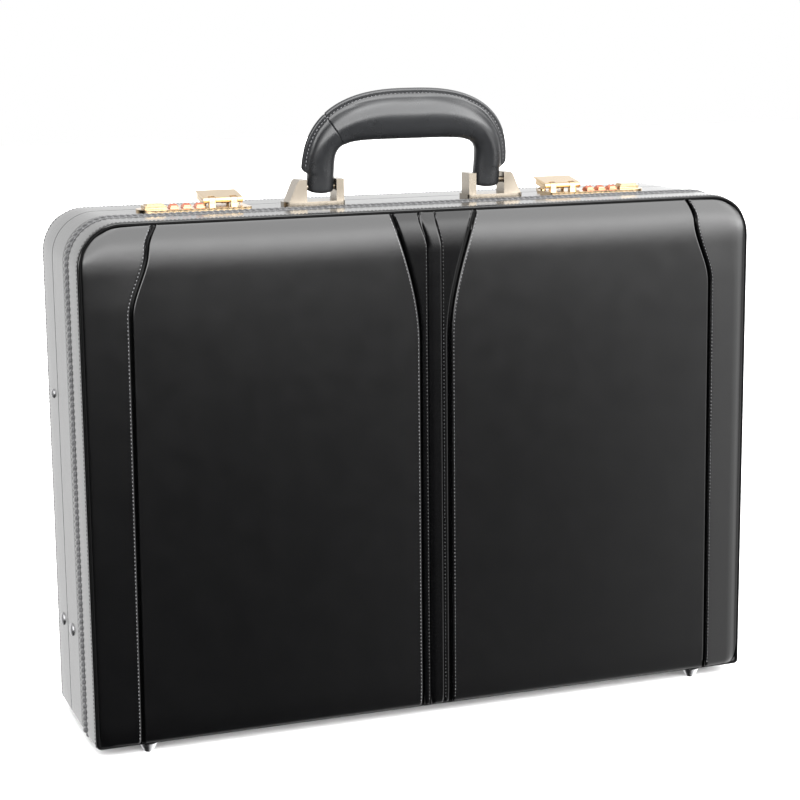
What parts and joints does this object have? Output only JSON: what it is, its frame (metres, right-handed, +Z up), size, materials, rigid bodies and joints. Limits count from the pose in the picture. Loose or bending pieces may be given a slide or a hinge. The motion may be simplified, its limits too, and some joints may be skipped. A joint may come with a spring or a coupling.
{
  "type": "attache case",
  "caption": "Hard-sided leather attache case: hinged front and rear shells, padded faces, swinging top handle, combination locks with hasps, lid stays and feet.",
  "frame": {"origin": "bottom centre of the standing case, at the feet's tips, in the middle of its width and depth", "axes": "+X along the width, -Y out of the front face that carries the centre inset, +Z up; the handle is on top"},
  "size_m": [0.4622, 0.121, 0.4131],
  "materials": {
    "black_leather": "smooth glossy top-grain leather",
    "trim_leather": "glossy black trim leather and welting",
    "handle_leather": "soft satin black leather",
    "wood": "raw basswood and fibreboard",
    "lining": "matte brown-black drill lining",
    "organiser": "thin matte leather",
    "gold": "polished gold plate",
    "pale_gold": "satin champagne gold plate",
    "dial_gold": "polished red gold plate",
    "steel": "plated steel",
    "nickel": "polished nickel"
  },
  "bodies": {
    "base": {"base_frame": "wood", "base_board": "wood", "base_band": "black_leather", "base_leather": "black_leather", "base_welt": "trim_leather", "base_lining": "lining", "closing_lip": "lining", "front_piping": "trim_leather", "front_panels": "black_leather", "front_side_strips": "black_leather", "front_inset": "trim_leather", "front_ridge": "trim_leather", "base_feet": "nickel", "hinge_base_leaf": "gold", "hinge_pin": "steel", "hinge_base_screws": "gold", "handle_brackets": "pale_gold", "bracket_screws": "pale_gold", "handle_pins": "pale_gold", "lock_plates": "gold", "lock_cases": "steel", "dial_spindles": "steel", "latch_pins": "gold", "latch_springs": "steel", "button_springs": "steel", "dial_springs": "steel", "lock_rivets": "gold", "stay_rivets": "steel"},
    "lid": {"lid_frame": "wood", "lid_board": "wood", "lid_leather": "black_leather", "lid_lining": "lining", "rear_piping": "trim_leather", "rear_panel": "black_leather", "rear_side_strips": "black_leather", "file_pockets": "organiser", "pen_loops": "organiser", "lid_feet": "nickel", "hinge_lid_leaf": "gold", "hinge_lid_screws": "gold", "strikes": "gold", "strike_rivets": "gold", "stay_tracks": "steel", "track_rivets": "steel"},
    "handle": {"handle_core": "steel", "handle_leather": "handle_leather"},
    "left_latch": {"left_hasp": "gold"},
    "right_latch": {"right_hasp": "gold"},
    "left_release": {"left_button": "gold"},
    "right_release": {"right_button": "gold"},
    "left_wheel_1": {"left_dial_1": "dial_gold"},
    "left_wheel_2": {"left_dial_2": "dial_gold"},
    "left_wheel_3": {"left_dial_3": "dial_gold"},
    "right_wheel_1": {"right_dial_1": "dial_gold"},
    "right_wheel_2": {"right_dial_2": "dial_gold"},
    "right_wheel_3": {"right_dial_3": "dial_gold"},
    "left_stay_arm": {"left_stay": "steel"},
    "right_stay_arm": {"right_stay": "steel"},
    "left_shoe": {"left_stay_shoe": "steel"},
    "right_shoe": {"right_stay_shoe": "steel"}
  },
  "joints": [
    {"name": "lid_hinge", "type": "hinge", "parent": "base", "child": "lid", "pos_m": [0, 0.0195, 0.0046], "axis": [-1, 0, 0], "range_deg": [0, 95]},
    {"name": "handle_swing", "type": "hinge", "parent": "base", "child": "handle", "pos_m": [0, -0.00425, 0.3499], "axis": [1, 0, 0], "range_deg": [-98, 74]},
    {"name": "left_hasp_pivot", "type": "hinge", "parent": "base", "child": "left_latch", "pos_m": [-0.12025, 0.0075, 0.3429], "axis": [1, 0, 0], "range_deg": [-10, 75]},
    {"name": "right_hasp_pivot", "type": "hinge", "parent": "base", "child": "right_latch", "pos_m": [0.12025, 0.0075, 0.3429], "axis": [1, 0, 0], "range_deg": [-10, 75]},
    {"name": "left_button_slide", "type": "slide", "parent": "base", "child": "left_release", "axis": [-1, 0, 0], "range_m": [0, 0.002]},
    {"name": "right_button_slide", "type": "slide", "parent": "base", "child": "right_release", "axis": [1, 0, 0], "range_m": [0, 0.002]},
    {"name": "left_dial_1_turn", "type": "hinge", "parent": "base", "child": "left_wheel_1", "pos_m": [-0.1545, 0.002, 0.337], "axis": [1, 0, 0], "continuous": true},
    {"name": "left_dial_2_turn", "type": "hinge", "parent": "base", "child": "left_wheel_2", "pos_m": [-0.146, 0.002, 0.337], "axis": [1, 0, 0], "continuous": true},
    {"name": "left_dial_3_turn", "type": "hinge", "parent": "base", "child": "left_wheel_3", "pos_m": [-0.1375, 0.002, 0.337], "axis": [1, 0, 0], "continuous": true},
    {"name": "right_dial_1_turn", "type": "hinge", "parent": "base", "child": "right_wheel_1", "pos_m": [0.1375, 0.002, 0.337], "axis": [1, 0, 0], "continuous": true},
    {"name": "right_dial_2_turn", "type": "hinge", "parent": "base", "child": "right_wheel_2", "pos_m": [0.146, 0.002, 0.337], "axis": [1, 0, 0], "continuous": true},
    {"name": "right_dial_3_turn", "type": "hinge", "parent": "base", "child": "right_wheel_3", "pos_m": [0.1545, 0.002, 0.337], "axis": [1, 0, 0], "continuous": true},
    {"name": "left_stay_swing", "type": "hinge", "parent": "base", "child": "left_stay_arm", "pos_m": [-0.21575, 0.0055, 0.0685], "axis": [-1, 0, 0], "range_deg": [0, 120]},
    {"name": "right_stay_swing", "type": "hinge", "parent": "base", "child": "right_stay_arm", "pos_m": [0.21575, 0.0055, 0.0685], "axis": [-1, 0, 0], "range_deg": [0, 120]},
    {"name": "left_shoe_slide", "type": "slide", "parent": "lid", "child": "left_shoe", "axis": [0, 0, 1], "range_m": [-0.1075, 0]},
    {"name": "right_shoe_slide", "type": "slide", "parent": "lid", "child": "right_shoe", "axis": [0, 0, 1], "range_m": [-0.1075, 0]}
  ],
  "couplings": [
    {"joint": "left_stay_swing", "follows": "lid_hinge", "ratio": 1.249},
    {"joint": "right_stay_swing", "follows": "lid_hinge", "ratio": 1.249},
    {"joint": "left_shoe_slide", "follows": "lid_hinge", "m_per_rad": -0.06393},
    {"joint": "right_shoe_slide", "follows": "lid_hinge", "m_per_rad": -0.06393}
  ]
}
